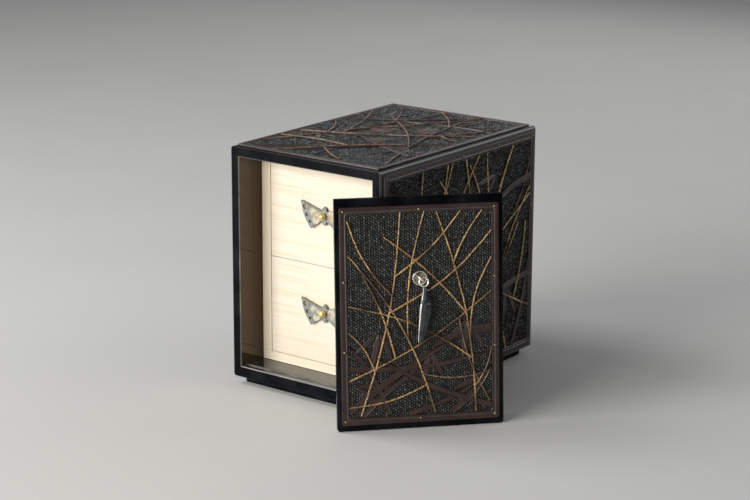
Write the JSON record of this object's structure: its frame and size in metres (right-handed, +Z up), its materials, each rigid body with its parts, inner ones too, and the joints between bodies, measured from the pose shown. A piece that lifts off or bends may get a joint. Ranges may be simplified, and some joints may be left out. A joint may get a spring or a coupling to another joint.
{
  "type": "personal seal box",
  "caption": "Upright black lacquer seal case with woven panels, an open front, a pale wood cabinet with sliding drawers and a lift-off front panel leaning on its corner.",
  "frame": {"origin": "middle of the case's underside, on the surface that it stands on", "axes": "+Z up, the case's open front faces -Y, +X to the right seen from the front"},
  "size_m": [0.2458, 0.2752, 0.2131],
  "materials": {
    "black_lacquer": "polished black lacquer",
    "pale_wood": "plain planed pale wood",
    "brown_frame": "dark red-brown lacquer, satin",
    "black_weave": "lacquered cane weave, dull black",
    "brown_leaf": "dark brown lacquer, satin",
    "pale_pewter": "pale grey-green patinated metal",
    "dark_silver": "darkened silver-coloured metal",
    "gilt": "gilt"
  },
  "bodies": {
    "box": {"back_frame": "brown_frame", "back_leaves_1": "brown_leaf", "back_leaves_2": "brown_leaf", "back_weave": "black_weave", "blossom_1": "brown_leaf", "blossom_2": "brown_leaf", "blossom_3": "brown_leaf", "cabinet": "pale_wood", "case_back": "black_lacquer", "case_floor": "black_lacquer", "case_left": "black_lacquer", "case_lintel": "black_lacquer", "case_right": "black_lacquer", "case_roof": "black_lacquer", "left_frame": "brown_frame", "left_leaves_1": "brown_leaf", "left_leaves_2": "brown_leaf", "left_weave": "black_weave", "lid_board": "black_lacquer", "lid_frame": "brown_frame", "lid_leaves_1": "brown_leaf", "lid_leaves_2": "brown_leaf", "lid_leaves_3": "brown_leaf", "lid_leaves_4": "brown_leaf", "lid_leaves_5": "brown_leaf", "lid_weave": "black_weave", "plinth": "black_lacquer", "pull_eye": "dark_silver", "pull_rosette": "pale_pewter", "right_frame": "brown_frame", "right_leaves_1": "brown_leaf", "right_leaves_2": "brown_leaf", "right_leaves_3": "brown_leaf", "right_leaves_4": "brown_leaf", "right_leaves_5": "brown_leaf", "right_leaves_6": "brown_leaf", "right_weave": "black_weave", "top_frame": "brown_frame", "top_leaves_1": "brown_leaf", "top_leaves_2": "brown_leaf", "top_leaves_3": "brown_leaf", "top_leaves_4": "brown_leaf", "top_leaves_5": "brown_leaf", "top_weave": "black_weave"},
    "upper_drawer": {"upper_drawer_front": "pale_wood", "upper_drawer_tray": "pale_wood", "upper_butterfly": "pale_pewter", "upper_stud": "gilt"},
    "lower_drawer": {"lower_drawer_front": "pale_wood", "lower_drawer_tray": "pale_wood", "lower_butterfly": "pale_pewter", "lower_stud": "gilt"},
    "pull": {"pull_ring": "dark_silver", "pull_pod": "dark_silver"}
  },
  "joints": [
    {"name": "upper_drawer_slide", "type": "slide", "parent": "box", "child": "upper_drawer", "axis": [0, -1, 0], "range_m": [0, 0.048]},
    {"name": "lower_drawer_slide", "type": "slide", "parent": "box", "child": "lower_drawer", "axis": [0, -1, 0], "range_m": [0, 0.058]},
    {"name": "pull_swing", "type": "hinge", "parent": "box", "child": "pull", "pos_m": [0.11184, -0.10239, 0.12527], "axis": [-0.6748, -0.738, 0], "range_deg": [0, 45]}
  ]
}
